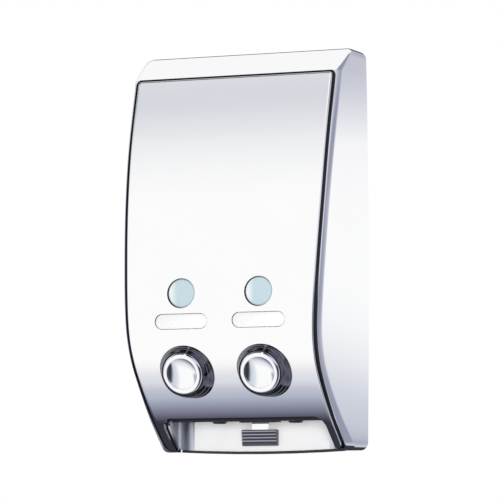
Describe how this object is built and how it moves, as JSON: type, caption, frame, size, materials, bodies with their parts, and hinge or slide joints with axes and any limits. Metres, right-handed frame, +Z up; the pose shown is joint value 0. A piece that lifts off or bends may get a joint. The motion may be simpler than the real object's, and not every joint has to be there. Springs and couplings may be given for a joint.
{
  "type": "wall-mounted soap dispenser",
  "caption": "Wall-mounted liquid soap dispenser with a bright curved case that hinges up over refillable bottles, push-button pumps, sight windows and a dosing alcove at its foot.",
  "frame": {"origin": "centre of the wall plate's flat rear face, in the wall plane at half the dispenser's height", "axes": "+X to the right for a user who faces the dispenser, +Y into the wall, +Z up"},
  "size_m": [0.1474, 0.076, 0.26],
  "materials": {
    "case_chrome": "polished",
    "panel_chrome": "mirror polished",
    "liner_chrome": "polished",
    "spring_steel": "drawn wire and turned steel",
    "dark_plastic": "fine moulded texture",
    "white_plastic": "smooth moulded",
    "label_white": "smooth satin",
    "sight_glass": "clear, pale blue",
    "bottle_plastic": "translucent moulded",
    "seal_rubber": "matt"
  },
  "bodies": {
    "base": {"wall_plate": "dark_plastic", "bottle_shelf": "white_plastic", "alcove_liner": "liner_chrome", "latch_spring": "spring_steel", "wall_screw_1": "spring_steel", "wall_screw_2": "spring_steel", "wall_screw_3": "spring_steel", "wall_screw_4": "spring_steel", "hinge_pin_left": "spring_steel", "bottle_left": "bottle_plastic", "bottle_lid_left": "bottle_plastic", "pump_body_left": "white_plastic", "inlet_ball_left": "spring_steel", "spout_left": "dark_plastic", "outlet_valve_left": "white_plastic", "piston_spring_left": "spring_steel", "hinge_pin_right": "spring_steel", "bottle_right": "bottle_plastic", "bottle_lid_right": "bottle_plastic", "pump_body_right": "white_plastic", "inlet_ball_right": "spring_steel", "spout_right": "dark_plastic", "outlet_valve_right": "white_plastic", "piston_spring_right": "spring_steel"},
    "cover": {"cover_shell": "case_chrome", "front_panel": "panel_chrome", "catch_tongue": "case_chrome", "sight_window_left": "sight_glass", "label_plate_left": "label_white", "button_collar_left": "case_chrome", "button_spring_left": "spring_steel", "sight_window_right": "sight_glass", "label_plate_right": "label_white", "button_collar_right": "case_chrome", "button_spring_right": "spring_steel"},
    "latch": {"latch_slider": "dark_plastic"},
    "button_left": {"button_left": "case_chrome", "button_clip_left": "spring_steel"},
    "piston_left": {"piston_left": "white_plastic", "piston_seal_left": "seal_rubber"},
    "button_right": {"button_right": "case_chrome", "button_clip_right": "spring_steel"},
    "piston_right": {"piston_right": "white_plastic", "piston_seal_right": "seal_rubber"}
  },
  "joints": [
    {"name": "cover_hinge", "type": "hinge", "parent": "base", "child": "cover", "pos_m": [0, -0.007, 0.1245], "axis": [-1, 0, 0], "range_deg": [0, 95]},
    {"name": "latch_slide", "type": "slide", "parent": "base", "child": "latch", "axis": [0, 0, 1], "range_m": [0, 0.004], "stiffness_N_per_m": 400, "springref_m": -0.003, "deforming": ["latch_spring"]},
    {"name": "button_left_press", "type": "slide", "parent": "cover", "child": "button_left", "axis": [0, 0.9659, 0.2588], "range_m": [0, 0.008], "stiffness_N_per_m": 250, "springref_m": -0.004, "deforming": ["button_spring_left"]},
    {"name": "piston_left_stroke", "type": "slide", "parent": "base", "child": "piston_left", "axis": [0, 0.9659, 0.2588], "range_m": [0, 0.008], "stiffness_N_per_m": 200, "springref_m": -0.004, "deforming": ["piston_spring_left"]},
    {"name": "button_right_press", "type": "slide", "parent": "cover", "child": "button_right", "axis": [0, 0.9659, 0.2588], "range_m": [0, 0.008], "stiffness_N_per_m": 250, "springref_m": -0.004, "deforming": ["button_spring_right"]},
    {"name": "piston_right_stroke", "type": "slide", "parent": "base", "child": "piston_right", "axis": [0, 0.9659, 0.2588], "range_m": [0, 0.008], "stiffness_N_per_m": 200, "springref_m": -0.004, "deforming": ["piston_spring_right"]}
  ],
  "couplings": [
    {"joint": "piston_left_stroke", "follows": "button_left_press", "ratio": 1},
    {"joint": "piston_right_stroke", "follows": "button_right_press", "ratio": 1}
  ]
}
